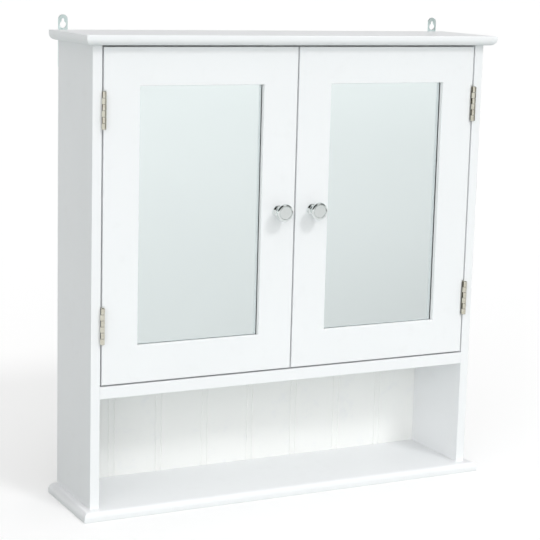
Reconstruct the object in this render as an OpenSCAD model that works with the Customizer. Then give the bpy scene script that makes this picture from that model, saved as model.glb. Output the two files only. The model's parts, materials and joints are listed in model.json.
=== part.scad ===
// Mirror cabinet: two mirrored doors over an open compartment, hung on two keyhole plates.
// Millimetres, +Z up, the doors face -Y. The origin is the middle of the underside of the
// bottom board. Everything is drawn on the right, at +X, and mirrored for the left.

/* [Boards] */
// Width of the top and bottom boards
cabinet_w = 560; // [500:5:640]
// Depth of the top and bottom boards
cabinet_d = 130; // [122:1:170]
// Height from the floor to the top of the top board
cabinet_h = 580; // [530:5:660]
// Thickness of the top, the bottom and the sides
board_t = 12; // [11.5:0.5:16]
// Thickness of the fixed shelf
shelf_t = 15; // [11.5:0.5:18]
// How far the top and bottom boards stand out past each side
side_overhang = 12; // [9:0.5:18]
// How far the top and bottom boards stand out past the doors
front_overhang = 14; // [10:0.5:18]
// Radius of the rounded edge of the top and bottom boards
edge_r = 8; // [3:0.5:9]
// Radius that eases the other painted edges
ease_r = 0.8; // [0.3:0.1:1.2]
// Clear height of the open compartment
open_h = 135.5; // [115:0.5:160]

/* [Back panel] */
// Thickness of the back panel
panel_t = 3; // [2.5:0.1:4]
// Width of the rebate that the back panel lies in
rebate_w = 4; // [3:0.1:4]
// Clearance round the edge of the back panel
panel_play = 0.3; // [0.1:0.1:0.8]
// Distance from one beaded groove pair to the next
groove_pitch = 65.5; // [40:0.5:90]
// Width of the bead between the two grooves of a pair
bead_w = 8; // [4:0.5:10]
// Width of one groove
groove_w = 1.6; // [1:0.1:2.4]
// Depth of one groove
groove_deep = 0.8; // [0.4:0.1:1.4]

/* [Doors] */
// Thickness of a door
door_t = 12; // [11:0.5:16]
// Gap round and between the doors
door_gap = 2; // [1.8:0.1:3]
// Width of the door frame on all four sides of the mirror
rail_w = 45.5; // [40:0.5:60]
// Thickness of the mirror
mirror_t = 3; // [2.5:0.1:4]
// How far the mirror reaches behind the frame
mirror_lap = 6; // [4:0.5:8]
// Thickness of the hardboard behind the mirror
backing_t = 3; // [2.5:0.1:4]
// How far the hardboard reaches behind the frame
backing_lap = 14; // [12:0.5:16]
// Clearance round the edges of the mirror and the hardboard
pane_play = 0.5; // [0.3:0.1:1]

/* [Hinges] */
// Length of a hinge
hinge_l = 43.5; // [36:0.5:60]
// Distance from the end of the door to the middle of the hinge
hinge_inset = 73; // [50:0.5:100]
// Thickness of a hinge leaf
leaf_t = 1.2; // [1:0.1:1.5]
// How far a hinge leaf reaches in from the front of the door
leaf_w = 10; // [8:0.5:10.5]
// Gap between the two closed leaves
leaf_gap = 0.2; // [0.1:0.05:0.4]
// Diameter of the hinge pin
pin_d = 3.2; // [2.6:0.1:4]
// Radial clearance of the pin in its knuckles
pin_play = 0.05; // [0.02:0.01:0.1]
// Number of knuckles on a hinge
knuckles = 6; // [4:2:8]
// Gap between two knuckles
knuckle_gap = 0.4; // [0.15:0.05:0.5]
// Angle of the seam that each rolled knuckle leaves open beside its leaf
seam_angle = 120; // [60:5:130]
// How far the heads of the pin stand out past it, and their thickness
pin_head = 0.6; // [0.4:0.1:0.8]
// Distance from the front of the doors to the barrel behind it
barrel_clear = 0.05; // [0.02:0.01:0.5]
// Room round the barrel in the edge of the door
notch_play = 2; // [1:0.1:2.5]

/* [Knobs] */
// Diameter of the knob
knob_d = 22; // [18:0.5:30]
// How far the knob stands out from the door
knob_l = 21.5; // [18:0.5:30]
// Radius of the rounded rim of the knob
knob_rim_r = 3.2; // [2:0.1:4.5]
// Diameter of the base of the knob
knob_base_d = 14; // [12:0.5:18]
// Thickness of the base of the knob
knob_base_t = 2; // [1.5:0.1:3]
// Diameter of the neck of the knob
knob_neck_d = 9; // [8:0.5:11]
// Width of the step between the base of the knob and the hollow of its neck
knob_step = 0.5; // [0.3:0.1:0.8]
// Angle, from level, at which the cone under the head of the knob meets the rim
knob_under_angle = 40; // [20:5:60]
// Diameter of the screw that holds the knob
knob_screw_d = 4; // [3:0.5:5]
// How far the screw reaches into the knob
knob_screw_in = 9; // [6:0.5:11]

/* [Wall hangers] */
// Width of a keyhole plate
hanger_w = 12; // [11:0.5:14]
// Thickness of a keyhole plate
hanger_t = 1.5; // [1:0.1:2.5]
// Height of a keyhole plate above the top board
hanger_rise = 18; // [16:0.5:26]
// Length of a keyhole plate below the top of the top board
hanger_drop = 45; // [44:1:60]
// Distance from the lower end of a keyhole plate to its lower screw
hanger_screw_inset = 8; // [6:0.5:10]
// Distance between the two screws of a keyhole plate
hanger_screw_pitch = 15; // [12:0.5:15]
// Diameter of the round part of the keyhole
keyhole_d = 8.2; // [7:0.1:9]
// Height of the middle of the round part above the top board
keyhole_up = 6; // [5:0.5:9]
// Width of the slot above the round part
slot_w = 3.6; // [3:0.1:4.5]
// Distance from the middle of the round part to the top of the slot
slot_l = 7.5; // [6.5:0.5:9]

/* [Inner shelf] */
// Thickness of the loose shelf in the cupboard
inner_t = 12; // [10:0.5:16]
// Height of its underside above the fixed shelf
inner_up = 200; // [150:1:240]
// Clearance at each end of the loose shelf
inner_play = 1; // [0.5:0.1:2]
// Distance from the backs of the doors to the loose shelf
inner_setback = 6; // [5:0.5:20]
// Diameter of a shelf peg
peg_d = 5; // [4:0.5:6]
// Depth of a peg in the side
peg_in = 8; // [6:0.5:9]
// Length of a peg under the shelf
peg_out = 8; // [6:0.5:12]
// Distance from a peg to the edge of the shelf
peg_inset = 15; // [10:1:25]
// Distance between two peg holes, up and down
peg_pitch = 50; // [32:1:60]

/* [Board fittings] */
// Distance from the front and back of a side to its fittings
fitting_inset = 28; // [24:1:32]
// Diameter of a cam lock
cam_d = 12; // [10:0.5:14]
// Thickness of a cam lock
cam_t = 9.5; // [9:0.1:10]
// Distance from the end of the board to the middle of the cam lock
cam_reach = 24; // [20:0.5:30]
// Diameter of the thread of a cam bolt
bolt_d = 6; // [5:0.5:7]
// Length of the thread of a cam bolt
bolt_in = 9; // [7:0.5:9.5]
// Diameter of the stem of a cam bolt
stem_d = 4.4; // [3.5:0.1:5]
// Diameter of the head of a cam bolt
bolt_head_d = 6; // [5.5:0.1:7]
// Thickness of the head of a cam bolt
bolt_head_l = 3; // [2:0.1:4]
// Diameter of a wooden dowel
dowel_d = 6; // [5:0.5:7]
// Depth of a dowel in the face of a board
dowel_in = 8; // [6:0.5:9]
// Depth of a dowel in the end of a board
dowel_out = 17; // [12:1:25]
// Radial clearance of screws, cams, pegs and dowels in their holes
fit = 0.1; // [0.05:0.01:0.2]
// Diameter of the screws under the bottom board
base_screw_d = 4; // [3.5:0.5:5]
// Length of the screws under the bottom board
base_screw_l = 40; // [30:1:50]

/* [Small screws and nails] */
// Diameter of the hinge screws
hinge_screw_d = 2.8; // [2.4:0.1:3]
// Length of the hinge screws
hinge_screw_l = 10; // [7:0.5:11]
// Diameter of the hanger screws
hanger_screw_d = 3.5; // [3:0.1:4]
// Length of the hanger screws
hanger_screw_l = 20; // [14:1:26]
// Diameter of the screws of the mirror backing and the catches
small_screw_d = 2.5; // [2:0.1:3]
// Length of those screws
small_screw_l = 8; // [6:0.5:9]
// Diameter of a panel nail
nail_d = 1.2; // [1:0.1:1.6]
// Length of a panel nail
nail_l = 15; // [12:1:20]
// Greatest distance between two panel nails
nail_pitch = 110; // [80:5:160]

/* [Door catches] */
// Width of the catch case between its ears
catch_w = 24; // [22:1:30]
// Depth of the catch case
catch_d = 14; // [13:0.5:18]
// Height of the catch case
catch_h = 13; // [12:0.5:14]
// Length of each ear of the catch case
ear_l = 8; // [7:0.5:9]
// Thickness of an ear
ear_t = 3; // [2:0.5:4]
// How far the ears stand back from the front and back of the case, and their corner radius
ear_inset = 2; // [1:0.5:3]
// Width of the magnet and its pole plates
magnet_w = 20; // [16:1:20]
// Depth of the magnet
magnet_d = 9.5; // [8:0.5:10]
// Thickness of the magnet
magnet_t = 4; // [3:0.5:5]
// Thickness of a pole plate
pole_t = 1; // [0.8:0.1:1.2]
// How far the pole plates stand out of the case
pole_out = 0.5; // [0.3:0.1:1]
// Gap between the pole plates and the strike plate
catch_gap = 0.3; // [0.2:0.1:0.6]
// Width of the strike plate
strike_w = 26; // [20:1:30]
// Height of the strike plate
strike_h = 10; // [9:0.5:10.5]
// Thickness of the strike plate
strike_t = 1.5; // [1.2:0.1:2]

/* [Hidden] */
$fn = 64;
// Overshoot of a cut past the face that it opens
over = 1;
// Extra depth of a blind hole past what it holds
spare = 0.5;
// Corner radius of the small plates and cases
corner_r = 1;

// Colours
paint = [0.95, 0.96, 0.97];
inner_paint = [0.90, 0.91, 0.90];
chrome = [0.80, 0.82, 0.83];
nickel = [0.77, 0.74, 0.65];
zinc = [0.72, 0.84, 0.82];
glass = [0.85, 0.91, 0.91];
hardboard = [0.52, 0.38, 0.26];
beech = [0.84, 0.71, 0.53];
plastic = [0.96, 0.96, 0.95];
ferrite = [0.18, 0.18, 0.19];

// Planes of the carcass
front_y = front_overhang - cabinet_d / 2;
back_y = cabinet_d / 2;
panel_y = back_y - panel_t;
side_out_x = cabinet_w / 2 - side_overhang;
side_in_x = side_out_x - board_t;
side_mid_x = side_out_x - board_t / 2;
top_z = cabinet_h - board_t;
shelf_z = board_t + open_h;
shelf_top_z = shelf_z + shelf_t;
shelf_mid_z = shelf_z + shelf_t / 2;

// Fittings between the boards
fitting_ys = [front_y + fitting_inset, back_y - fitting_inset];
dowel_y = (front_y + back_y) / 2;

// Door and its window
door_x = door_gap / 2;
door_w = side_in_x - door_gap - door_x;
door_z = shelf_top_z + door_gap;
door_h = top_z - door_gap - door_z;
door_back_y = front_y + door_t;
window_x = door_x + rail_w;
window_w = door_w - 2 * rail_w;
window_z = door_z + rail_w;
window_h = door_h - 2 * rail_w;
window_mid_x = window_x + window_w / 2;
window_mid_z = window_z + window_h / 2;
backing_y = door_back_y - backing_t;
mirror_y = backing_y - mirror_t;
// The backing screws stand midway between the mirror and the edge of the hardboard
backing_screw_out = (mirror_lap + backing_lap) / 2;
backing_screw_spots = [
    for (side = [-1, 1], row = [-1, 0, 1])
        [window_mid_x + side * (window_w / 2 + backing_screw_out), window_mid_z + row * window_h / 2],
    for (end = [-1, 1])
        [window_mid_x, window_mid_z + end * (window_h / 2 + backing_screw_out)]
];

// Hinges
pin_r = pin_d / 2;
bore_r = pin_r + pin_play;
barrel_r = bore_r + leaf_t;
pin_x = side_in_x - leaf_t - leaf_gap / 2;
pin_y = front_y - barrel_r - barrel_clear;
knuckle_l = (hinge_l - (knuckles - 1) * knuckle_gap) / knuckles;
leaf_start = barrel_r + knuckle_gap;
leaf_end = front_y + leaf_w - pin_y;
hinge_screw_y = (leaf_start + leaf_end) / 2;
hinge_screw_z = hinge_l / 4;
hinge_head_d = hinge_screw_d + 2 * leaf_t;
lower_hinge_z = door_z + hinge_inset;
upper_hinge_z = door_z + door_h - hinge_inset;

// Knob
knob_x = door_x + rail_w / 2;
knob_z = door_z + door_h / 2;
knob_neck_r = knob_neck_d / 2;
knob_rim_x = knob_d / 2 - knob_rim_r;
knob_cove_r = (knob_base_d - knob_neck_d) / 2 - knob_step;
knob_head_d = 2 * knob_screw_d;
knob_head_l = 0.6 * knob_screw_d;

// Keyhole plates and their screws
hanger_low_z = cabinet_h - hanger_drop;
hanger_screw_low_z = hanger_low_z + hanger_screw_inset;
hanger_screw_zs = [hanger_screw_low_z, hanger_screw_low_z + hanger_screw_pitch];
hanger_head_d = hanger_screw_d + 2 * hanger_t;

// Loose shelf and its pegs
inner_front_y = door_back_y + inner_setback;
inner_back_y = panel_y - spare;
inner_z = shelf_top_z + inner_up;
peg_ys = [inner_front_y + peg_inset, inner_back_y - peg_inset];
// The pegs are flattened under the shelf by a tenth of their diameter
peg_flat = peg_d / 2 - peg_d / 10;
peg_z = inner_z - peg_flat;
peg_rows = [-1, 0, 1];

// Catches: each holds its door behind the knob's stile, under the top board
catch_x = knob_x;
strike_y = door_back_y + strike_t;
pole_y = strike_y + catch_gap;
catch_y = pole_y + pole_out;
magnet_z = top_z - catch_h / 2 - spare;
catch_screw_x = catch_w / 2 + ear_l / 2;
catch_screw_y = catch_y + catch_d / 2;
small_head_d = 2 * small_screw_d;
small_head_l = 0.6 * small_screw_d;

// Nails in the middle of the rebate, and one row in the fixed shelf
rebate_x = side_in_x + rebate_w;
nail_x = side_in_x + (rebate_w - panel_play) / 2;
nail_low_z = board_t - (rebate_w - panel_play) / 2;
nail_high_z = top_z + (rebate_w - panel_play) / 2;
nail_rows = ceil((nail_high_z - nail_low_z) / nail_pitch);
nail_columns = ceil(2 * nail_x / nail_pitch);
nail_head_r = 1.1 * nail_d;
nail_head_l = 0.4;
nail_spots = [
    for (side = [-1, 1], row = [0.5:nail_rows])
        [side * nail_x, nail_low_z + (nail_high_z - nail_low_z) * row / nail_rows],
    for (z = [nail_low_z, shelf_mid_z, nail_high_z], column = [0.5:nail_columns])
        [nail_x * (2 * column / nail_columns - 1), z]
];

// The rest at +X, mirrored to -X
module both_sides() {
    children();
    mirror([1, 0, 0]) children();
}

module left() {
    mirror([1, 0, 0]) children();
}

// Extrudes a flat shape, drawn in X and Z, along +Y.
module along_y(l) {
    translate([0, l, 0]) rotate([90, 0, 0]) linear_extrude(l) children();
}

// Extrudes a flat shape, drawn in Y and Z, along +X.
module along_x(l) {
    rotate([90, 0, 90]) linear_extrude(l) children();
}

module rod_x(r, l) {
    rotate([0, 90, 0]) cylinder(r = r, h = l);
}

module rod_y(r, l) {
    rotate([-90, 0, 0]) cylinder(r = r, h = l);
}

// What a cutter takes off a corner at the origin to round it.
module corner_waste(r) {
    difference() {
        translate([-over, -over]) square(r + over);
        translate([r, r]) circle(r);
    }
}

// Rectangle from the origin. radii lists its corners, anticlockwise from the origin.
module section(w, h, radii) {
    corners = [[0, 0], [w, 0], [w, h], [0, h]];
    difference() {
        square([w, h]);
        for (i = [0:3])
            if (radii[i] > 0) translate(corners[i]) rotate(90 * i) corner_waste(radii[i]);
    }
}

function all_round(r) = [r, r, r, r];

// Opening of width w whose two front edges are eased.
module eased_opening(w) {
    translate([0, -over]) square([w, over + ease_r]);
    rotate(90) corner_waste(ease_r);
    translate([w, 0]) corner_waste(ease_r);
}

// Cross for a screwdriver, cut into a head whose face is at z = 0.
module cross_recess(d) {
    for (turn = [0, 90])
        rotate(turn) translate([-d / 4, -d / 16, -over]) cube([d / 2, d / 8, over + d / 8]);
}

// Screw along +Z with its face at z = 0, its head sunk. play widens it into its own hole.
module sunk_screw(d, head, l, play = 0) {
    r = d / 2 + play;
    mouth = play > 0 ? -over : 0;
    rotate_extrude() polygon([
        [0, mouth], [head / 2 + play, mouth], [head / 2 + play, 0],
        [r, (head - d) / 2], [r, l - d / 2 + play], [0, l + play]
    ]);
}

// Screw along +Z with its head's underside at z = 0. play widens it into its own hole.
module pan_screw(d, head, head_l, l, play = 0) {
    r = d / 2 + play;
    rotate_extrude() polygon([
        [0, -head_l], [head / 3 + play, -head_l], [head / 2 + play, -head_l / 2],
        [head / 2 + play, 0], [r, 0], [r, l - d / 2 + play], [0, l + play]
    ]);
}

// Room that the back panel lies in, cut from all the boards round it.
module panel_pocket() {
    low = board_t - rebate_w;
    high = top_z + rebate_w;
    translate([-rebate_x, panel_y, low]) cube([2 * rebate_x, panel_t + over, high - low]);
}

// A joint's plane is z = 0 here: the bolt screws into the board above it, and the cam
// turns in the board below, of thickness t, its face towards -X.
module cam_bolt() {
    cylinder(d = bolt_d, h = bolt_in);
    translate([0, 0, -cam_reach]) cylinder(d = stem_d, h = cam_reach);
    translate([0, 0, -cam_reach - bolt_head_l / 2]) cylinder(d = bolt_head_d, h = bolt_head_l);
}

module cam_bolt_hole() {
    translate([0, 0, -over]) cylinder(d = bolt_d + 2 * fit, h = bolt_in + over + spare);
}

module cam_lock(t) {
    difference() {
        translate([-t / 2, 0, -cam_reach]) rod_x(cam_d / 2, cam_t);
        translate([0, 0, -cam_reach - bolt_head_l / 2 - fit])
            cylinder(d = bolt_head_d + 2 * fit, h = cam_d);
        translate([-t / 2, 0, -cam_reach]) rotate([0, 90, 0]) cross_recess(cam_d);
    }
}

module cam_pocket(t) {
    translate([-t / 2 - over, 0, -cam_reach]) rod_x(cam_d / 2 + fit, cam_t + over + fit);
    translate([0, 0, -cam_reach - bolt_head_l / 2 - fit])
        cylinder(d = bolt_head_d + 2 * fit, h = cam_reach + bolt_head_l / 2 + fit + over);
}

module dowel() {
    translate([0, 0, -dowel_out]) cylinder(d = dowel_d, h = dowel_out + dowel_in);
}

module dowel_hole() {
    translate([0, 0, -dowel_out - spare])
        cylinder(d = dowel_d + 2 * fit, h = dowel_out + dowel_in + 2 * spare);
}

// Places of the joints: the top board on the side, the side on the bottom board, the fixed
// shelf in the side.
module at_top_joint() {
    translate([side_mid_x, 0, top_z]) children();
}

module at_bottom_joint() {
    translate([side_mid_x, 0, board_t]) mirror([0, 0, 1]) children();
}

module at_shelf_joint() {
    translate([side_in_x, 0, shelf_mid_z]) mirror([0, 0, 1]) rotate([0, 90, 0]) children();
}

module at_fittings() {
    for (y = fitting_ys) translate([0, y, 0]) children();
}

module at_dowel() {
    translate([0, dowel_y, 0]) children();
}

// The heads are sunk below the underside, so the cabinet stands on the board alone.
module at_base_screws() {
    translate([side_mid_x, 0, spare]) at_fittings() children();
}

module at_hinge(side, z) {
    translate([side * pin_x, pin_y, z]) children();
}

module at_hinges() {
    for (z = [lower_hinge_z, upper_hinge_z]) at_hinge(1, z) children();
}

// Screw places of a leaf on the +X side of the pin, or on the -X side where hand is -1.
module at_leaf_screws(hand) {
    for (z = [-hinge_screw_z, hinge_screw_z])
        translate([hand * (leaf_gap / 2), hinge_screw_y, z]) rotate([0, hand * 90, 0]) children();
}

module at_hanger_screws() {
    for (z = hanger_screw_zs)
        translate([side_mid_x, back_y + hanger_t, z]) rotate([90, 0, 0]) children();
}

module at_backing_screws() {
    for (spot = backing_screw_spots)
        translate([spot[0], door_back_y, spot[1]]) rotate([90, 0, 0]) children();
}

module at_catch_screws() {
    for (side = [-1, 1])
        translate([catch_x + side * catch_screw_x, catch_screw_y, top_z - ear_t]) children();
}

module at_strike_screw() {
    translate([catch_x, strike_y, magnet_z]) rotate([90, 0, 0]) children();
}

module at_knob_screw() {
    translate([knob_x, door_back_y, knob_z]) rotate([90, 0, 0]) children();
}

module hinge_screw(play = 0) {
    sunk_screw(hinge_screw_d, hinge_head_d, hinge_screw_l, play);
}

module hanger_screw(play = 0) {
    sunk_screw(hanger_screw_d, hanger_head_d, hanger_screw_l, play);
}

module base_screw(play = 0) {
    sunk_screw(base_screw_d, 2 * base_screw_d, base_screw_l, play);
}

module small_screw(play = 0) {
    pan_screw(small_screw_d, small_head_d, small_head_l, small_screw_l, play);
}

module strike_screw(play = 0) {
    sunk_screw(small_screw_d, small_screw_d + 2 * strike_t, small_screw_l, play);
}

module knob_screw(play = 0) {
    pan_screw(knob_screw_d, knob_head_d, knob_head_l, door_t + knob_screw_in, play);
}

// Top board: the large rounding runs along the underside of its front and ends.
module top_board() {
    color(paint) difference() {
        intersection() {
            translate([-cabinet_w / 2, -cabinet_d / 2, top_z])
                along_y(cabinet_d) section(cabinet_w, board_t, [edge_r, edge_r, ease_r, ease_r]);
            translate([-cabinet_w / 2, -cabinet_d / 2, top_z])
                along_x(cabinet_w) section(cabinet_d, board_t, [edge_r, 0, 0, ease_r]);
        }
        panel_pocket();
        both_sides() {
            at_top_joint() at_fittings() cam_bolt_hole();
            at_top_joint() at_dowel() dowel_hole();
            at_catch_screws() small_screw(fit);
        }
        nail_holes();
    }
}

// Bottom board: the same section turned over.
module bottom_board() {
    color(paint) difference() {
        intersection() {
            translate([-cabinet_w / 2, -cabinet_d / 2, 0])
                along_y(cabinet_d) section(cabinet_w, board_t, [ease_r, ease_r, edge_r, edge_r]);
            translate([-cabinet_w / 2, -cabinet_d / 2, 0])
                along_x(cabinet_w) section(cabinet_d, board_t, [ease_r, 0, 0, edge_r]);
        }
        panel_pocket();
        both_sides() {
            at_base_screws() base_screw(fit);
            at_bottom_joint() at_dowel() dowel_hole();
        }
        nail_holes();
    }
}

module side_board() {
    color(paint) difference() {
        translate([side_in_x, front_y, board_t])
            linear_extrude(top_z - board_t) section(board_t, back_y - front_y, [ease_r, ease_r, 0, 0]);
        panel_pocket();
        at_top_joint() at_fittings() cam_pocket(board_t);
        at_top_joint() at_dowel() dowel_hole();
        at_base_screws() base_screw(fit);
        at_bottom_joint() at_dowel() dowel_hole();
        at_shelf_joint() at_fittings() cam_bolt_hole();
        at_shelf_joint() at_dowel() dowel_hole();
        at_hinges() at_leaf_screws(1) hinge_screw(fit);
        at_hanger_screws() hanger_screw(fit);
        nail_holes();
        for (y = peg_ys, row = peg_rows)
            translate([side_in_x - over, y, peg_z + row * peg_pitch])
                rod_x(peg_d / 2 + fit, peg_in + over + spare);
    }
}

module fixed_shelf() {
    depth = panel_y - front_y;
    color(paint) difference() {
        translate([-side_in_x, front_y, shelf_z])
            along_x(2 * side_in_x) section(depth, shelf_t, [ease_r, 0, 0, ease_r]);
        both_sides() {
            at_shelf_joint() at_fittings() cam_pocket(shelf_t);
            at_shelf_joint() at_dowel() dowel_hole();
        }
        nail_holes();
    }
}

module inner_shelf() {
    w = 2 * (side_in_x - inner_play);
    depth = inner_back_y - inner_front_y;
    color(inner_paint) translate([-w / 2, inner_front_y, inner_z])
        along_x(w) section(depth, inner_t, [ease_r, 0, 0, ease_r]);
}

// Tongue-and-groove look: pairs of grooves with a bead between, on the front only.
module back_panel() {
    w = 2 * (rebate_x - panel_play);
    low = board_t - rebate_w + panel_play;
    high = top_z + rebate_w - panel_play;
    pairs = floor((side_in_x - bead_w) / groove_pitch);
    color(inner_paint) difference() {
        translate([0, panel_y, low]) linear_extrude(high - low) difference() {
            translate([-w / 2, 0]) square([w, panel_t]);
            for (pair = [-pairs:pairs], side = [-1, 1])
                translate([pair * groove_pitch + side * bead_w / 2, 0])
                    polygon([[-groove_w / 2, 0], [0, -over], [groove_w / 2, 0], [0, groove_deep]]);
        }
        nail_holes();
    }
}

module nail(play = 0) {
    rotate([90, 0, 0]) cylinder(r = nail_d / 2 + play, h = nail_l + play);
}

module nail_holes() {
    for (spot = nail_spots) translate([spot[0], back_y, spot[1]]) nail(fit);
}

module panel_nails() {
    color(zinc) for (spot = nail_spots) translate([spot[0], back_y, spot[1]]) {
        nail();
        rod_y(nail_head_r, nail_head_l);
    }
}

module shelf_pegs() {
    color(zinc) both_sides() for (y = peg_ys) translate([side_in_x - peg_out, y, peg_z])
        difference() {
            rod_x(peg_d / 2, peg_out + peg_in);
            translate([-over, -peg_d, peg_flat]) cube([peg_out + over, 2 * peg_d, peg_d]);
        }
}

module dowels() {
    color(beech) both_sides() {
        at_top_joint() at_dowel() dowel();
        at_bottom_joint() at_dowel() dowel();
        at_shelf_joint() at_dowel() dowel();
    }
}

module cam_bolts() {
    color(nickel) both_sides() {
        at_top_joint() at_fittings() cam_bolt();
        at_shelf_joint() at_fittings() cam_bolt();
    }
}

module cam_locks() {
    color(zinc) both_sides() {
        at_top_joint() at_fittings() cam_lock(board_t);
        at_shelf_joint() at_fittings() cam_lock(shelf_t);
    }
}

module base_screws() {
    color(zinc) both_sides() at_base_screws() difference() {
        base_screw();
        cross_recess(2 * base_screw_d);
    }
}

// Keyhole plate on the back edge of the side, rising behind the top board.
module hanger() {
    high = cabinet_h + hanger_rise - hanger_w / 2;
    hole_z = cabinet_h + keyhole_up;
    color(zinc) difference() {
        translate([side_mid_x, back_y, 0]) along_y(hanger_t) difference() {
            union() {
                translate([-hanger_w / 2, hanger_low_z])
                    section(hanger_w, high - hanger_low_z, [corner_r, corner_r, 0, 0]);
                translate([0, high]) circle(hanger_w / 2);
            }
            translate([0, hole_z]) circle(keyhole_d / 2);
            translate([-slot_w / 2, hole_z]) square([slot_w, slot_l - slot_w / 2]);
            translate([0, hole_z + slot_l - slot_w / 2]) circle(slot_w / 2);
        }
        at_hanger_screws() hanger_screw(fit);
    }
}

module hanger_screws() {
    color(zinc) both_sides() at_hanger_screws() difference() {
        hanger_screw();
        cross_recess(hanger_head_d);
    }
}

// Leaf with its rolled knuckles round the pin at the origin, on the +X side where hand is
// 1. That leaf has the top knuckle. Each roll stops short and leaves a seam by its leaf.
module hinge_leaf(hand) {
    plate_x = hand > 0 ? leaf_gap / 2 : -leaf_gap / 2 - leaf_t;
    first = hand > 0 ? 0 : 1;
    seam = [for (turn = [0, 1, 2]) 2 * barrel_r * [
        -hand * sin(turn * seam_angle / 2), cos(turn * seam_angle / 2)
    ]];
    color(nickel) difference() {
        union() {
            translate([plate_x, leaf_start, -hinge_l / 2])
                cube([leaf_t, leaf_end - leaf_start, hinge_l]);
            for (i = [first:2:knuckles - 1])
                translate([0, 0, hinge_l / 2 - i * (knuckle_l + knuckle_gap) - knuckle_l])
                    linear_extrude(knuckle_l) difference() {
                        union() {
                            circle(barrel_r);
                            translate([plate_x, 0]) square([leaf_t, leaf_start]);
                        }
                        circle(bore_r);
                        polygon(concat([[0, 0]], seam));
                    }
        }
        at_leaf_screws(hand) hinge_screw(fit);
    }
}

module hinge_pin() {
    color(nickel) union() {
        translate([0, 0, -hinge_l / 2 - fit]) cylinder(r = pin_r, h = hinge_l + 2 * fit);
        for (end = [0, 1])
            mirror([0, 0, end]) translate([0, 0, hinge_l / 2 + fit])
                cylinder(r1 = pin_r + pin_head, r2 = pin_r, h = pin_head);
    }
}

module leaf_screws(hand) {
    color(nickel) at_hinges() at_leaf_screws(hand) difference() {
        hinge_screw();
        cross_recess(hinge_head_d);
    }
}

// Case of the magnetic catch, screwed up through its two ears.
module catch_case() {
    stack_h = magnet_t + 2 * pole_t;
    color(plastic) difference() {
        union() {
            translate([catch_x - catch_w / 2, catch_y, top_z - catch_h])
                linear_extrude(catch_h) section(catch_w, catch_d, all_round(corner_r));
            translate([catch_x - catch_w / 2 - ear_l, catch_y + ear_inset, top_z - ear_t])
                linear_extrude(ear_t)
                    section(catch_w + 2 * ear_l, catch_d - 2 * ear_inset, all_round(ear_inset));
        }
        translate([catch_x - magnet_w / 2 - fit, catch_y - over, magnet_z - stack_h / 2 - fit])
            cube([magnet_w + 2 * fit, magnet_d + over + spare, stack_h + 2 * fit]);
        at_catch_screws() small_screw(fit);
    }
}

module catch_magnets() {
    color(ferrite) both_sides()
        translate([catch_x - magnet_w / 2, catch_y, magnet_z - magnet_t / 2])
            cube([magnet_w, magnet_d, magnet_t]);
}

module catch_pole_plates() {
    color(zinc) both_sides() for (end = [0, 1])
        translate([catch_x - magnet_w / 2, pole_y, magnet_z]) mirror([0, 0, end])
            translate([0, 0, magnet_t / 2]) cube([magnet_w, magnet_d + pole_out, pole_t]);
}

module catch_screws() {
    color(zinc) both_sides() at_catch_screws() difference() {
        small_screw();
        translate([0, 0, -small_head_l]) cross_recess(small_head_d);
    }
}

// Edge of the door at a hinge: a shallow seat for the leaf and a notch for the barrel.
module hinge_seat() {
    seat_x = leaf_gap / 2 + leaf_t;
    translate([-seat_x, -barrel_r, -hinge_l / 2 - fit])
        cube([seat_x, barrel_r + leaf_end + fit, hinge_l + 2 * fit]);
    translate([0, 0, -hinge_l / 2 - notch_play])
        cylinder(r = barrel_r + notch_play, h = hinge_l + 2 * notch_play);
    at_leaf_screws(-1) hinge_screw(fit);
}

module window_edge() {
    intersection() {
        translate([window_x, front_y, window_z - rail_w / 2])
            linear_extrude(window_h + rail_w) eased_opening(window_w);
        translate([window_x - rail_w / 2, front_y, window_z])
            along_x(window_w + rail_w) mirror([1, -1]) eased_opening(window_h);
    }
}

// Room for a pane that laps the window by lap, from y to the back of the door.
module pane_room(lap, y) {
    translate([window_x - lap, y, window_z - lap])
        cube([window_w + 2 * lap, door_back_y - y + over, window_h + 2 * lap]);
}

module pane(lap, y, t) {
    edge = lap - pane_play;
    translate([window_x - edge, y, window_z - edge])
        cube([window_w + 2 * edge, t, window_h + 2 * edge]);
}

module door_frame() {
    color(paint) difference() {
        intersection() {
            translate([door_x, front_y, door_z])
                linear_extrude(door_h) section(door_w, door_t, [ease_r, ease_r, 0, 0]);
            translate([door_x, front_y, door_z])
                along_x(door_w) section(door_t, door_h, [ease_r, 0, 0, ease_r]);
        }
        pane_room(0, front_y - over);
        window_edge();
        pane_room(mirror_lap, mirror_y);
        pane_room(backing_lap, backing_y);
        at_hinges() hinge_seat();
        at_knob_screw() translate([0, 0, -over])
            cylinder(d = knob_screw_d + 4 * fit, h = door_t + 2 * over);
        at_backing_screws() small_screw(fit);
        at_strike_screw() strike_screw(fit);
    }
}

module mirror_pane() {
    color(glass) pane(mirror_lap, mirror_y, mirror_t);
}

module mirror_backing() {
    color(hardboard) difference() {
        pane(backing_lap, backing_y, backing_t);
        at_backing_screws() small_screw(fit);
    }
}

module backing_screws() {
    color(zinc) at_backing_screws() difference() {
        small_screw();
        translate([0, 0, -small_head_l]) cross_recess(small_head_d);
    }
}

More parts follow.
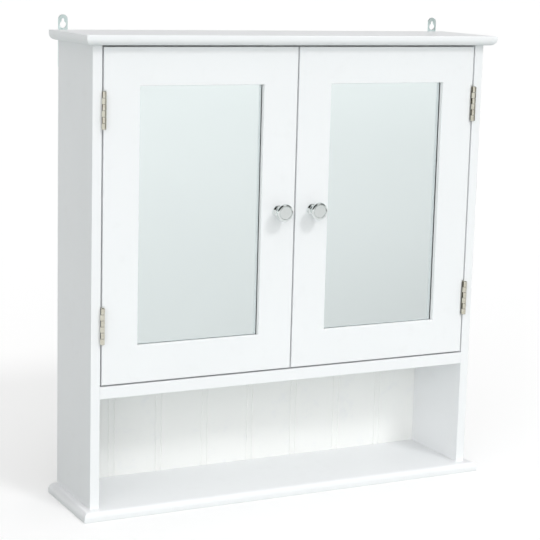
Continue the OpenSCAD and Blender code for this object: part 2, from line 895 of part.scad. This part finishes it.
// Half section of the knob: x is the radius, y the height above the door.
module knob_section() {
    rim_y = knob_l - knob_rim_r;
    cove_y = knob_base_t + knob_cove_r;
    section(knob_base_d / 2, knob_base_t, [0, 0, ease_r, 0]);
    square([knob_neck_r, knob_l - knob_rim_r]);
    difference() {
        square([knob_neck_r + knob_cove_r, cove_y]);
        translate([knob_neck_r + knob_cove_r, cove_y]) circle(knob_cove_r);
    }
    polygon([
        [0, cove_y], [knob_neck_r, cove_y + knob_rim_r],
        [knob_rim_x + knob_rim_r * cos(knob_under_angle), rim_y - knob_rim_r * sin(knob_under_angle)],
        [knob_rim_x + knob_rim_r, rim_y], [knob_rim_x, knob_l], [0, knob_l]
    ]);
    translate([knob_rim_x, rim_y]) circle(knob_rim_r);
}

module knob() {
    color(chrome) difference() {
        translate([knob_x, front_y, knob_z]) rotate([90, 0, 0]) rotate_extrude() knob_section();
        at_knob_screw() knob_screw(pin_play);
    }
}

module knob_screw_part() {
    color(zinc) at_knob_screw() difference() {
        knob_screw();
        translate([0, 0, -knob_head_l]) cross_recess(knob_head_d);
    }
}

module strike_plate() {
    color(zinc) difference() {
        translate([catch_x - strike_w / 2, door_back_y, magnet_z - strike_h / 2])
            along_y(strike_t) section(strike_w, strike_h, all_round(corner_r));
        at_strike_screw() strike_screw(fit);
    }
}

module strike_screw_part() {
    color(zinc) at_strike_screw() difference() {
        strike_screw();
        cross_recess(small_screw_d + 2 * strike_t);
    }
}

top_board();
bottom_board();
left() side_board();  // left_side
side_board();  // right_side
fixed_shelf();
inner_shelf();
back_panel();
panel_nails();
shelf_pegs();
dowels();
cam_bolts();
cam_locks();
base_screws();
left() hanger();  // left_hanger
hanger();  // right_hanger
hanger_screws();
at_hinge(-1, upper_hinge_z) hinge_leaf(-1);  // upper_left_frame_leaf
at_hinge(-1, lower_hinge_z) hinge_leaf(-1);  // lower_left_frame_leaf
at_hinge(1, upper_hinge_z) hinge_leaf(1);  // upper_right_frame_leaf
at_hinge(1, lower_hinge_z) hinge_leaf(1);  // lower_right_frame_leaf
at_hinge(-1, upper_hinge_z) hinge_pin();  // upper_left_hinge_pin
at_hinge(-1, lower_hinge_z) hinge_pin();  // lower_left_hinge_pin
at_hinge(1, upper_hinge_z) hinge_pin();  // upper_right_hinge_pin
at_hinge(1, lower_hinge_z) hinge_pin();  // lower_right_hinge_pin
both_sides() leaf_screws(1);  // frame_leaf_screws
left() catch_case();  // left_catch_case
catch_case();  // right_catch_case
catch_magnets();
catch_pole_plates();
catch_screws();
left() door_frame();  // left_door_frame
left() mirror_pane();  // left_mirror
left() mirror_backing();  // left_mirror_backing
left() backing_screws();  // left_backing_screws
left() knob();  // left_knob
left() knob_screw_part();  // left_knob_screw
at_hinge(-1, upper_hinge_z) hinge_leaf(1);  // upper_left_door_leaf
at_hinge(-1, lower_hinge_z) hinge_leaf(1);  // lower_left_door_leaf
left() leaf_screws(-1);  // left_door_leaf_screws
left() strike_plate();  // left_strike_plate
left() strike_screw_part();  // left_strike_screw
door_frame();  // right_door_frame
mirror_pane();  // right_mirror
mirror_backing();  // right_mirror_backing
backing_screws();  // right_backing_screws
knob();  // right_knob
knob_screw_part();  // right_knob_screw
at_hinge(1, upper_hinge_z) hinge_leaf(-1);  // upper_right_door_leaf
at_hinge(1, lower_hinge_z) hinge_leaf(-1);  // lower_right_door_leaf
leaf_screws(-1);  // right_door_leaf_screws
strike_plate();  // right_strike_plate
strike_screw_part();  // right_strike_screw
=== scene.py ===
"""Looks, light and camera of the mirror cabinet, in metres, in the frame of its CAD model.

The doors face -Y, +X is to the right and +Z is up. The outer boards, knobs and mirrors are rebuilt
here in a finer form. The hinges, hangers, catches and strike plates have their edges eased. All
the other pieces are the CAD solids with a material.
"""
import json
import math

import bmesh
import bpy
from mathutils import Matrix, Vector


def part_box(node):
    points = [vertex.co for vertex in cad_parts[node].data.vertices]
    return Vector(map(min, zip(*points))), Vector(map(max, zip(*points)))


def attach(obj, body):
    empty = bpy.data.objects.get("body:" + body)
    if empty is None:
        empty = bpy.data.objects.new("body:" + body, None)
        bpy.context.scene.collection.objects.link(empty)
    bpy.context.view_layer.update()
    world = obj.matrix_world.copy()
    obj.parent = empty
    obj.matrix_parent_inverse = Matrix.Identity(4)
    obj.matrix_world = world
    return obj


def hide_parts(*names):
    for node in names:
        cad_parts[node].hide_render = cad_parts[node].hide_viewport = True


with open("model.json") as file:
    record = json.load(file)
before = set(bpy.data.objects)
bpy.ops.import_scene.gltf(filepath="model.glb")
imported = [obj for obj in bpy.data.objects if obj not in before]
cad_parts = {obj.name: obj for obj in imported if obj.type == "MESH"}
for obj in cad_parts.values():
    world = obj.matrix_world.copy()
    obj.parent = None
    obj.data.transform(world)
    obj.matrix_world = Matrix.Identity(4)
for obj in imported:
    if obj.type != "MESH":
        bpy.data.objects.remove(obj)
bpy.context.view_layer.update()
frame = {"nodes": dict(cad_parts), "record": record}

# Colours, as linear light
WHITE_PAINT = (0.930, 0.942, 0.955)
WHITE_PAINT_WORN = (0.895, 0.905, 0.915)
PANEL_PAINT = (0.955, 0.963, 0.945)
PANEL_REAR = (0.780, 0.755, 0.700)
HARDBOARD_DARK = (0.160, 0.085, 0.042)
HARDBOARD_LIGHT = (0.300, 0.180, 0.100)
BEECH_DARK = (0.480, 0.300, 0.160)
BEECH_LIGHT = (0.680, 0.480, 0.290)
MIRROR_SILVER = (0.880, 0.930, 0.935)
GLASS_TINT = (0.970, 0.995, 0.985)
MIRROR_THROWS = (0.360, 0.375, 0.370)
# How far from a mirror its light begins, and where it is full: none falls on what touches it
MIRROR_TOUCH = (0.0005, 0.0015)
CHROME_BRIGHT = (0.815, 0.855, 0.845)
CHROME_DULL = (0.770, 0.812, 0.802)
NICKEL_BRIGHT = (0.760, 0.740, 0.640)
NICKEL_DULL = (0.620, 0.580, 0.470)
# Painted shade: the colour that ambient occlusion puts in the hinges' crevices and gaps
NICKEL_CREVICE_SHADE = (0.030, 0.026, 0.016)
ZINC_BRIGHT = (0.800, 0.930, 0.910)
ZINC_DULL = (0.660, 0.790, 0.770)
STEEL_BRIGHT = (0.620, 0.640, 0.660)
STEEL_DULL = (0.420, 0.440, 0.460)
CATCH_WHITE = (0.880, 0.880, 0.860)
FERRITE_DARK = (0.020, 0.020, 0.022)
FERRITE_LIGHT = (0.045, 0.045, 0.050)

# The camera was solved from the corners that the photograph shows
CAMERA_PLACE = (-0.96352, -1.86721, 0.67062)
CAMERA_RIGHT = (0.89178, -0.45172, 0.02585)
CAMERA_DOWN = (-0.05987, -0.17444, -0.98285)
CAMERA_FORWARD = (0.44848, 0.87494, -0.18261)
CAMERA_LENS = 111.77
CAMERA_SENSOR = 36.0


class Shader:
    """The node tree of a material or world, built a node at a time before its main shader."""

    def __init__(self, owner, main="Principled BSDF", coordinates="Object"):
        self.owner = owner
        self.owner.use_nodes = True
        self.tree = owner.node_tree
        self.surface = self.tree.nodes[main]
        self.place = self.add("ShaderNodeTexCoord").outputs[coordinates]

    def add(self, kind, settings=None, **inputs):
        made = self.tree.nodes.new(kind)
        for name, value in (settings or {}).items():
            setattr(made, name, value)
        for name, value in inputs.items():
            self.put(made, name.replace("_", " "), value)
        return made

    def put(self, target, name, value):
        socket = target.inputs[name]
        if isinstance(value, bpy.types.NodeSocket):
            self.tree.links.new(value, socket)
        elif socket.type == "RGBA":
            socket.default_value = (*value, 1.0)
        else:
            socket.default_value = value

    def stretched(self, scale):
        """The object's own coordinates, stretched by a scale for each axis."""
        return self.add("ShaderNodeMapping", Vector=self.place, Scale=scale).outputs["Vector"]

    def noise(self, scale, detail=3.0, roughness=0.5, stretch=(1.0, 1.0, 1.0)):
        return self.add("ShaderNodeTexNoise", Vector=self.stretched(stretch), Scale=scale,
                        Detail=detail, Roughness=roughness).outputs["Fac"]

    def spread(self, value, low, high, into=(0.0, 1.0)):
        """Takes the range low..high of a value to another range."""
        return self.add("ShaderNodeMapRange", Value=value, From_Min=low, From_Max=high,
                        To_Min=into[0], To_Max=into[1]).outputs["Result"]

    def blend(self, factor, first, second):
        mix = self.add("ShaderNodeMix", {"data_type": "RGBA"})
        self.put(mix, "Factor", factor)
        for socket, value in ((mix.inputs[6], first), (mix.inputs[7], second)):
            if isinstance(value, bpy.types.NodeSocket):
                self.tree.links.new(value, socket)
            else:
                socket.default_value = (*value, 1.0)
        return mix.outputs[2]

    def bump(self, height, depth, under=None):
        made = self.add("ShaderNodeBump", Height=height, Distance=depth, Strength=1.0)
        if under is not None:
            self.put(made, "Normal", under)
        return made.outputs["Normal"]

    def finish(self, **inputs):
        for name, value in inputs.items():
            self.put(self.surface, name.replace("_", " "), value)
        return self.owner


def new_shader(name):
    return Shader(bpy.data.materials.new(name))


def painted(name, paint, worn, rear=None):
    """Satin lacquer on fibreboard: a faint orange peel, cloudy gloss and a few rubbed spots."""
    shade = new_shader(name)
    clouds = shade.noise(7.0, detail=4.0)
    rubbed = shade.spread(shade.noise(38.0, detail=6.0, roughness=0.7), 0.56, 0.78)
    colour = shade.blend(shade.spread(clouds, 0.3, 0.7), paint, tuple(0.985 * c for c in paint))
    colour = shade.blend(rubbed, colour, worn)
    if rear is not None:
        facing = shade.add("ShaderNodeSeparateXYZ",
                           Vector=shade.add("ShaderNodeTexCoord").outputs["Normal"]).outputs["Y"]
        fibres = shade.noise(900.0, detail=2.0, stretch=(1.0, 1.0, 0.25))
        back = shade.blend(shade.spread(fibres, 0.35, 0.65), rear, tuple(0.9 * c for c in rear))
        colour = shade.blend(shade.spread(facing, 0.8, 0.9), colour, back)
    peel = shade.bump(shade.noise(420.0, detail=2.0), 0.00002)
    gloss = shade.spread(clouds, 0.3, 0.7, (0.34, 0.42))
    return shade.finish(Base_Color=colour, Roughness=gloss, Normal=peel, Coat_Weight=0.15,
                        Coat_Roughness=0.2)


def fibreboard(name, dark, light):
    """Hardboard: short pressed fibres over a mottled brown ground."""
    shade = new_shader(name)
    fibres = shade.noise(1300.0, detail=3.0, stretch=(1.0, 1.0, 0.3))
    mottle = shade.noise(60.0, detail=5.0)
    colour = shade.blend(shade.spread(fibres, 0.35, 0.7), dark, light)
    colour = shade.blend(shade.spread(mottle, 0.4, 0.7, (0.0, 0.5)), colour, light)
    return shade.finish(Base_Color=colour, Roughness=0.72, Normal=shade.bump(fibres, 0.00005))


def grained(name, dark, light):
    """Beech: fine grain along the dowels, which lie along X."""
    shade = new_shader(name)
    grain = shade.noise(500.0, detail=4.0, stretch=(0.06, 1.0, 1.0))
    return shade.finish(Base_Color=shade.blend(shade.spread(grain, 0.35, 0.65), dark, light),
                        Roughness=0.62, Normal=shade.bump(grain, 0.00004))


def plated(name, bright, dull, roughness, streaks, stretch=(1.0, 1.0, 1.0), depth=0.000004,
           crevice_shade=None):
    """Plated metal: fine marks from rolling or turning, a slight cloudy dulling, and, where a
    crevice colour is given, painted shade in its crevices and narrow gaps, from ambient occlusion."""
    shade = new_shader(name)
    marks = shade.noise(streaks, detail=3.0, stretch=stretch)
    clouds = shade.noise(150.0, detail=4.0)
    colour = shade.blend(shade.spread(clouds, 0.45, 0.75), bright, dull)
    if crevice_shade is not None:
        # Painted shade: ambient occlusion darkens the colour in crevices and narrow gaps
        openness = shade.add("ShaderNodeAmbientOcclusion", Distance=0.003).outputs["AO"]
        colour = shade.blend(shade.spread(openness, 0.20, 0.60), crevice_shade, colour)
    gloss = shade.spread(marks, 0.3, 0.7, (0.8 * roughness, 1.3 * roughness))
    return shade.finish(Base_Color=colour, Metallic=1.0, Roughness=gloss,
                        Normal=shade.bump(marks, depth))


def silvered(name):
    """The silvered back of a mirror: a clean reflection with a faint grey-green cast."""
    shade = new_shader(name)
    haze = shade.noise(9.0, detail=4.0)
    cast = shade.blend(shade.spread(haze, 0.3, 0.7), MIRROR_SILVER,
                       tuple(0.99 * c for c in MIRROR_SILVER))
    gloss = shade.spread(haze, 0.3, 0.7, (0.004, 0.010))
    return shade.finish(Base_Color=cast, Metallic=1.0, Roughness=gloss)


def float_glass(name):
    """Clear float glass: a slight green cast and an almost unseen wave in its surface. For the
    rays that light its surroundings it glows, in the place of the light that the mirror throws
    on the edges of its window."""
    shade = new_shader(name)
    rays = shade.add("ShaderNodeLightPath").outputs
    clear = shade.spread(rays["Ray Length"], *MIRROR_TOUCH)
    thrown = shade.blend(clear, (0.0, 0.0, 0.0), MIRROR_THROWS)
    thrown = shade.blend(rays["Is Diffuse Ray"], (0.0, 0.0, 0.0), thrown)
    shade.owner.cycles.emission_sampling = "NONE"
    wave = shade.noise(5.0, detail=1.0)
    cast = shade.blend(shade.spread(wave, 0.3, 0.7), GLASS_TINT,
                       tuple(0.995 * c for c in GLASS_TINT))
    return shade.finish(Base_Color=cast, Transmission_Weight=1.0, Roughness=0.0, IOR=1.52,
                        Normal=shade.bump(wave, 0.00001), Emission_Color=thrown,
                        Emission_Strength=1.0)


def moulded(name, colour):
    """Moulded plastic: fine spark texture and a soft sheen."""
    shade = new_shader(name)
    grit = shade.noise(1600.0, detail=2.0)
    tone = shade.blend(shade.spread(shade.noise(40.0), 0.3, 0.7), colour,
                       tuple(0.96 * c for c in colour))
    return shade.finish(Base_Color=tone, Roughness=0.38, Normal=shade.bump(grit, 0.00002))


def sintered(name, dark, light):
    """Ferrite: dark, dull and finely pitted."""
    shade = new_shader(name)
    pits = shade.noise(2200.0, detail=3.0)
    return shade.finish(Base_Color=shade.blend(shade.spread(pits, 0.4, 0.7), dark, light),
                        Roughness=0.6, Normal=shade.bump(pits, 0.00003))


MATERIALS = {
    "painted_board": painted("white_lacquer", WHITE_PAINT, WHITE_PAINT_WORN),
    "painted_beadboard": painted("panel_lacquer", PANEL_PAINT, WHITE_PAINT_WORN, PANEL_REAR),
    "mirror_glass": float_glass("float_glass"),
    "hardboard": fibreboard("brown_hardboard", HARDBOARD_DARK, HARDBOARD_LIGHT),
    "beech": grained("beech_wood", BEECH_DARK, BEECH_LIGHT),
    "hinge_nickel": plated("bright_nickel", NICKEL_BRIGHT, NICKEL_DULL, 0.20, 900.0,
                           (1.0, 1.0, 0.05), crevice_shade=NICKEL_CREVICE_SHADE),
    "knob_chrome": plated("polished_chrome", CHROME_BRIGHT, CHROME_DULL, 0.05, 90.0, depth=0.0),
    "zinc_plate": plated("zinc_plating", ZINC_BRIGHT, ZINC_DULL, 0.36, 500.0, (1.0, 1.0, 0.2)),
    "screw_zinc": plated("screw_plating", STEEL_BRIGHT, STEEL_DULL, 0.32, 800.0),
    "catch_plastic": moulded("white_nylon", CATCH_WHITE),
    "magnet_ferrite": sintered("grey_ferrite", FERRITE_DARK, FERRITE_LIGHT),
}
SILVERING = silvered("silvering")
SLOT_OF = {part["node"]: part["material_slot"] for part in frame["record"]["subparts"]}
BODY_OF = {node: body for body, nodes in frame["record"]["behaviour"]["bodies"].items()
           for node in nodes}
for node, slot in SLOT_OF.items():
    mesh = frame["nodes"][node].data
    mesh.materials.clear()
    mesh.materials.append(MATERIALS[slot])


def stand_in(node, shape, materials=()):
    """A finished piece, made from a bmesh, in the place of a CAD node."""
    piece_mesh = bpy.data.meshes.new(node + "_piece")
    shape.to_mesh(piece_mesh)
    shape.free()
    for material in (MATERIALS[SLOT_OF[node]], *materials):
        piece_mesh.materials.append(material)
    piece = bpy.data.objects.new(node + "_piece", piece_mesh)
    bpy.context.scene.collection.objects.link(piece)
    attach(piece, BODY_OF[node])
    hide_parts(node)
    return piece


def settle(piece, crease=None):
    """Applies the piece's modifiers. With a crease angle, shades it smooth up to its creases."""
    solved = piece.evaluated_get(bpy.context.evaluated_depsgraph_get())
    rough, piece.data = piece.data, bpy.data.meshes.new_from_object(solved)
    piece.modifiers.clear()
    bpy.data.meshes.remove(rough)
    if crease is not None:
        piece.data.shade_smooth()
        piece.data.set_sharp_from_angle(angle=math.radians(crease))
    return piece


def ease(piece, width):
    """Rounds the sharp edges of a piece, and keeps its flat faces flat in the shading."""
    piece.data.shade_smooth()
    bevel = piece.modifiers.new("eased edges", "BEVEL")
    bevel.width = width
    bevel.segments = 2
    bevel.limit_method = "ANGLE"
    bevel.angle_limit = math.radians(35.0)
    piece.modifiers.new("flat faces", "WEIGHTED_NORMAL")
    return settle(piece)


def solid_of(node):
    """A bmesh of a CAD node, its flat faces whole again."""
    shape = bmesh.new()
    shape.from_mesh(frame["nodes"][node].data)
    bmesh.ops.remove_doubles(shape, verts=shape.verts, dist=1e-6)
    bmesh.ops.dissolve_limit(shape, angle_limit=math.radians(1.0), verts=shape.verts,
                             edges=shape.edges)
    return shape


def block(shape, low, high):
    """Adds a box between two corners to a bmesh, and returns its faces."""
    made = bmesh.ops.create_cube(shape, size=1.0)["verts"]
    for vert in made:
        vert.co = [a + (b - a) * (c + 0.5) for a, b, c in zip(low, high, vert.co)]
    return {face for vert in made for face in vert.link_faces}


def arc(centre, radius, start, end, steps):
    """Points of an arc, its angles in degrees."""
    angles = [math.radians(start + (end - start) * step / steps) for step in range(steps + 1)]
    return [(centre[0] + radius * math.cos(a), centre[1] + radius * math.sin(a)) for a in angles]


# Hinges, hangers, catches and strike plates, without their screws: the CAD solids with their
# edges eased by a width
EASED = {
    0.00025: ("hanger", "strike_plate", "catch_case"),
    0.00012: ("leaf", "pin", "pole_plates", "magnets"),
}
for width, endings in EASED.items():
    for node in SLOT_OF:
        if node.endswith(endings):
            ease(stand_in(node, solid_of(node)), width)

# Top and bottom boards: one rounded section along the front and both ends, and a rebate for the
# back panel. The bottom board also has the sunk holes of its screws.
BOARD_ROUND = 0.008
BOARD_EASE = 0.0008
PANEL_DEPTH = 0.003
PANEL_LAP = 0.004
# How far a cutter reaches past the face that it opens
CUT_OVER = 0.01
# Holes of the base screws through the bottom board: their places, the radius and depth of the
# mouth, the depth at which it has narrowed to the shank, and the radii and heights of one, from
# its mouth up
SCREW_X = 0.262
SCREW_Y = (-0.023, 0.037)
HEAD_R = 0.0041
HEAD_DEPTH = 0.0005
SHANK_R = 0.0021
SHANK_DEPTH = 0.0025
HOLE_TOP = 0.012 + CUT_OVER
SUNK_HOLE = ((0.0, -CUT_OVER), (HEAD_R, -CUT_OVER), (HEAD_R, HEAD_DEPTH),
             (SHANK_R, SHANK_DEPTH), (SHANK_R, HOLE_TOP), (0.0, HOLE_TOP))
HOLE_STEPS = 32


def board_layers(thickness):
    """Inset and height of each layer of a board, from its rounded face to its eased one."""
    large = arc((BOARD_ROUND, BOARD_ROUND), BOARD_ROUND, -90.0, -180.0, 20)
    small = arc((BOARD_EASE, thickness - BOARD_EASE), BOARD_EASE, 180.0, 90.0, 6)
    return large + small


def drill(shape, x, y, profile):
    """Adds a cutter to a bmesh, turned about an upright axis from radii and heights."""
    ring = [shape.verts.new((x + radius, y, z)) for radius, z in profile]
    edges = [shape.edges.new(pair) for pair in zip(ring, ring[1:])]
    bmesh.ops.spin(shape, geom=ring + edges, axis=(0, 0, 1), cent=(x, y, 0), angle=2 * math.pi,
                   steps=HOLE_STEPS)
    bmesh.ops.remove_doubles(shape, verts=shape.verts, dist=1e-6)
    bmesh.ops.recalc_face_normals(shape, faces=shape.faces)


for node, up in (("top_board", 1.0), ("bottom_board", -1.0)):
    (x0, y0, z0), (x1, y1, z1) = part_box(node)
    base_z = z0 if up > 0 else z1
    shape = bmesh.new()
    rings = []
    for inset, z in board_layers(z1 - z0):
        low_x, high_x, low_y = x0 + inset, x1 - inset, y0 + inset
        rings.append([shape.verts.new((x, y, base_z + up * z)) for x, y in
                      ((low_x, low_y), (high_x, low_y), (high_x, y1), (low_x, y1))])
    for lower, upper in zip(rings, rings[1:]):
        for side in range(4):
            shape.faces.new((lower[side - 1], lower[side], upper[side], upper[side - 1]))
    shape.faces.new(rings[0])
    shape.faces.new(rings[-1])
    bmesh.ops.recalc_face_normals(shape, faces=shape.faces)
    piece = stand_in(node, shape)
    side_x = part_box("right_side")[0][0] + PANEL_LAP
    cuts = bmesh.new()
    rebate_z = (base_z - up * CUT_OVER, base_z + up * PANEL_LAP)
    block(cuts, (-side_x, y1 - PANEL_DEPTH, min(rebate_z)),
          (side_x, y1 + CUT_OVER, max(rebate_z)))
    if node == "bottom_board":
        for x in (-SCREW_X, SCREW_X):
            for y in SCREW_Y:
                drill(cuts, x, y, SUNK_HOLE)
    cutter_mesh = bpy.data.meshes.new("cuts")
    cuts.to_mesh(cutter_mesh)
    cuts.free()
    cutter = bpy.data.objects.new("cuts", cutter_mesh)
    bpy.context.scene.collection.objects.link(cutter)
    cut = piece.modifiers.new("cuts", "BOOLEAN")
    cut.object = cutter
    settle(piece, crease=30.0)
    bpy.data.objects.remove(cutter)

# Mirrors: a sheet of glass, silvered on its back, with the silvering's protective coats a hair
# behind it
GLASS_THICK = 0.002
COAT_GAP = 0.0001
for hand in ("left", "right"):
    shape = bmesh.new()
    (x0, y0, z0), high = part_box(hand + "_mirror")
    silver_y = y0 + GLASS_THICK
    block(shape, (x0, y0, z0), (high[0], silver_y, high[2]))
    coats = block(shape, (x0, silver_y + COAT_GAP, z0), high)
    shape.normal_update()
    for face in shape.faces:
        face.material_index = int(face in coats or face.normal.y > 0.5)
    stand_in(hand + "_mirror", shape, [SILVERING])

# Knobs: turned in one piece, with a fine line round the flat of the head
KNOB_SPIN = 96
KNOB_FOOT_R = 0.0070
KNOB_FOOT_EASE = 0.0008
KNOB_RIM = 0.0026
KNOB_UNDER_ANGLE = 40.0
KNOB_LINE = 0.0008
KNOB_LINE_DEEP = 0.0005
KNOB_NECK = 0.0045
KNOB_FOOT = 0.0020
KNOB_COVE = 0.0020
for hand in ("left", "right"):
    (x0, y0, z0), (x1, y1, z1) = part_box(hand + "_knob")
    radius, length = (x1 - x0) / 2, y1 - y0
    flat = radius - KNOB_RIM
    profile = [(KNOB_FOOT_R, 0.0)]
    profile += arc((KNOB_FOOT_R - KNOB_FOOT_EASE, KNOB_FOOT - KNOB_FOOT_EASE), KNOB_FOOT_EASE,
                   0.0, 90.0, 4)
    profile += arc((KNOB_NECK + KNOB_COVE, KNOB_FOOT + KNOB_COVE), KNOB_COVE, 270.0, 180.0, 8)
    profile += [(KNOB_NECK, KNOB_FOOT + KNOB_COVE + KNOB_RIM)]
    profile += arc((flat, length - KNOB_RIM), KNOB_RIM, -KNOB_UNDER_ANGLE, 90.0, 24)
    profile += [(flat - 0.5 * KNOB_LINE, length - KNOB_LINE_DEEP), (flat - KNOB_LINE, length)]
    profile += [(0.0, length)]
    shape = bmesh.new()
    ring = [shape.verts.new((r, 0.0, h)) for r, h in profile]
    edges = [shape.edges.new(pair) for pair in zip(ring, ring[1:])]
    bmesh.ops.spin(shape, geom=ring + edges, axis=(0, 0, 1), cent=(0, 0, 0), angle=2 * math.pi,
                   steps=KNOB_SPIN)
    bmesh.ops.remove_doubles(shape, verts=shape.verts, dist=1e-7)
    bmesh.ops.holes_fill(shape, edges=[edge for edge in shape.edges if edge.is_boundary], sides=0)
    bmesh.ops.recalc_face_normals(shape, faces=shape.faces)
    place = Matrix.Translation(((x0 + x1) / 2, y1, (z0 + z1) / 2))
    shape.transform(place @ Matrix.Rotation(math.pi / 2, 4, "X"))
    settle(stand_in(hand + "_knob", shape), crease=50.0)

# Camera
turn = Matrix((CAMERA_RIGHT, [-v for v in CAMERA_DOWN], [-v for v in CAMERA_FORWARD])).transposed()
camera_data = bpy.data.cameras.new("camera")
camera_data.lens = CAMERA_LENS
camera_data.sensor_width = CAMERA_SENSOR
camera_data.clip_start = 0.05
camera_data.clip_end = 100.0
camera = bpy.data.objects.new("camera", camera_data)
camera.matrix_world = Matrix.Translation(CAMERA_PLACE) @ turn.to_4x4()
bpy.context.scene.collection.objects.link(camera)
bpy.context.scene.camera = camera

# Floor: white to the eye, with the cabinet's own shadow left on it, and less light thrown back
# on the cabinet. In the mirrors it is dimmer near the cabinet, and brightens away from it. Metal
# sees it bright on the left and dark on the right.
FLOOR_REACH = 30.0
FLOOR_ALBEDO = 0.75
FLOOR_GLOW = 0.270
BOUNCE = (0.525, 0.565, 0.553)
MIRRORED_ALBEDO = 0.735
MIRRORED_GLOW = (0.003, 0.285)
# The distance along MIRRORED_FROM counts by its logarithm
LOG_BASE = 10.0
MIRRORED_RANGE = (-0.5, 0.5)
MIRRORED_FROM = (-0.6, -0.8, 0.0)
METAL_GLOW = (0.04, 0.10)
METAL_GLOW_RANGE = (-1.0, 1.5)
METAL_DARK = (0.77, 0.15)
METAL_DARK_RANGE = (1.2, 2.3)
LEFTWARD = (-1.0, 0.0, 0.0)
RIGHTWARD = (1.0, 0.0, 0.0)
floor_mesh = bpy.data.meshes.new("floor")
floor_mesh.from_pydata([(x, y, 0.0) for x in (-FLOOR_REACH, FLOOR_REACH)
                        for y in (-FLOOR_REACH, FLOOR_REACH)], [], [(0, 2, 3, 1)])
floor = bpy.data.objects.new("floor", floor_mesh)
bpy.context.scene.collection.objects.link(floor)


def along(shade, direction):
    """How far a place lies in a direction."""
    made = shade.add("ShaderNodeVectorMath", {"operation": "DOT_PRODUCT"})
    shade.tree.links.new(shade.place, made.inputs[0])
    made.inputs[1].default_value = direction
    return made.outputs["Value"]


def smoothly(shade, value, low, high, into):
    """Takes the range low..high of a value to another range, with soft ends."""
    return shade.add("ShaderNodeMapRange", {"interpolation_type": "SMOOTHSTEP"}, Value=value,
                     From_Min=low, From_Max=high, To_Min=into[0], To_Max=into[1]).outputs["Result"]


def grey(level):
    return (level,) * 3


def seen(shade, by_camera, off_metal, through_glass, unseen):
    """Picks a level for the rays of the camera, for those off metal and through glass, and for
    the rest, which light the object."""
    rays = shade.add("ShaderNodeLightPath").outputs
    level = shade.blend(rays["Is Glossy Ray"], unseen, off_metal)
    level = shade.blend(rays["Is Transmission Ray"], level, through_glass)
    return shade.blend(rays["Is Camera Ray"], level, by_camera)


floor_shade = new_shader("pale_floor")
distance = floor_shade.add("ShaderNodeMath", {"operation": "LOGARITHM"})
floor_shade.put(distance, 0, along(floor_shade, MIRRORED_FROM))
floor_shade.put(distance, 1, LOG_BASE)
mirrored = floor_shade.spread(distance.outputs[0], *MIRRORED_RANGE, MIRRORED_GLOW)
metal_glow = floor_shade.spread(along(floor_shade, LEFTWARD), *METAL_GLOW_RANGE, METAL_GLOW)
metal_dark = floor_shade.spread(along(floor_shade, RIGHTWARD), *METAL_DARK_RANGE, METAL_DARK)
paleness = seen(floor_shade, grey(FLOOR_ALBEDO), metal_dark, grey(MIRRORED_ALBEDO), BOUNCE)
glow = seen(floor_shade, grey(FLOOR_GLOW), metal_glow, mirrored, grey(0.0))
floor_shade.finish(Base_Color=paleness, Roughness=1.0, Specular_IOR_Level=0.0,
                   Emission_Strength=1.0, Emission_Color=glow)
floor_mesh.materials.append(floor_shade.owner)

# World: a dim room with broad soft lights. It is white behind the object, and the polished
# pieces show its dark ceiling with a window in it.
ROOM_LIGHT = 0.02
# Where each light stands, how near to its middle it begins (1 is its middle) and its strength,
# which is full from LIGHT_CORE on
LIGHT_CORE = 0.97
SOFT_LIGHTS = (
    ((0.0, -1.0, 0.0), 0.60, 0.68),
    ((-0.62, -0.78, 0.05), 0.60, 1.72),
    ((1.0, 0.0, 0.2), 0.30, 0.48),
    ((0.0, 0.0, 1.0), 0.45, 1.15),
)
CEILING = 0.04
CEILING_FROM = 0.14
CEILING_FULL = 0.26
WINDOW_ALONG = (0.32, -0.52, 0.79)
WINDOW_EDGE = (0.945, 0.965)
WINDOW_GLOW = 1.25
bpy.context.scene.world = bpy.data.worlds.new("studio")
sky = Shader(bpy.context.scene.world, "Background", "Generated")
light = ROOM_LIGHT
for direction, edge, strength in SOFT_LIGHTS:
    lobe = smoothly(sky, along(sky, Vector(direction).normalized()), edge, LIGHT_CORE,
                    (0.0, strength))
    total = sky.add("ShaderNodeMath", {"operation": "ADD"})
    sky.put(total, 0, lobe)
    sky.put(total, 1, light)
    light = total.outputs[0]
walls = smoothly(sky, along(sky, (0.0, 0.0, 1.0)), CEILING_FROM, CEILING_FULL, (1.0, CEILING))
window = smoothly(sky, along(sky, Vector(WINDOW_ALONG).normalized()), *WINDOW_EDGE, (0.0, 1.0))
room = sky.blend(window, walls, grey(WINDOW_GLOW))
sky.finish(Color=seen(sky, grey(1.0), room, grey(1.0), light), Strength=1.0)

# Key lamp, high at the front right: it draws the shadows of the knobs down to the left
KEY_ENERGY = 0.75
KEY_SPREAD = 11.0
KEY_ALONG = (-0.32, 1.0, -0.92)
lamp_data = bpy.data.lights.new("key_lamp", "SUN")
lamp_data.energy = KEY_ENERGY
lamp_data.angle = math.radians(KEY_SPREAD)
lamp = bpy.data.objects.new("key_lamp", lamp_data)
lamp.visible_glossy = False
lamp.rotation_mode = "QUATERNION"
lamp.rotation_quaternion = Vector(KEY_ALONG).to_track_quat("-Z", "Y")
bpy.context.scene.collection.objects.link(lamp)

bpy.context.scene.view_settings.view_transform = "Standard"
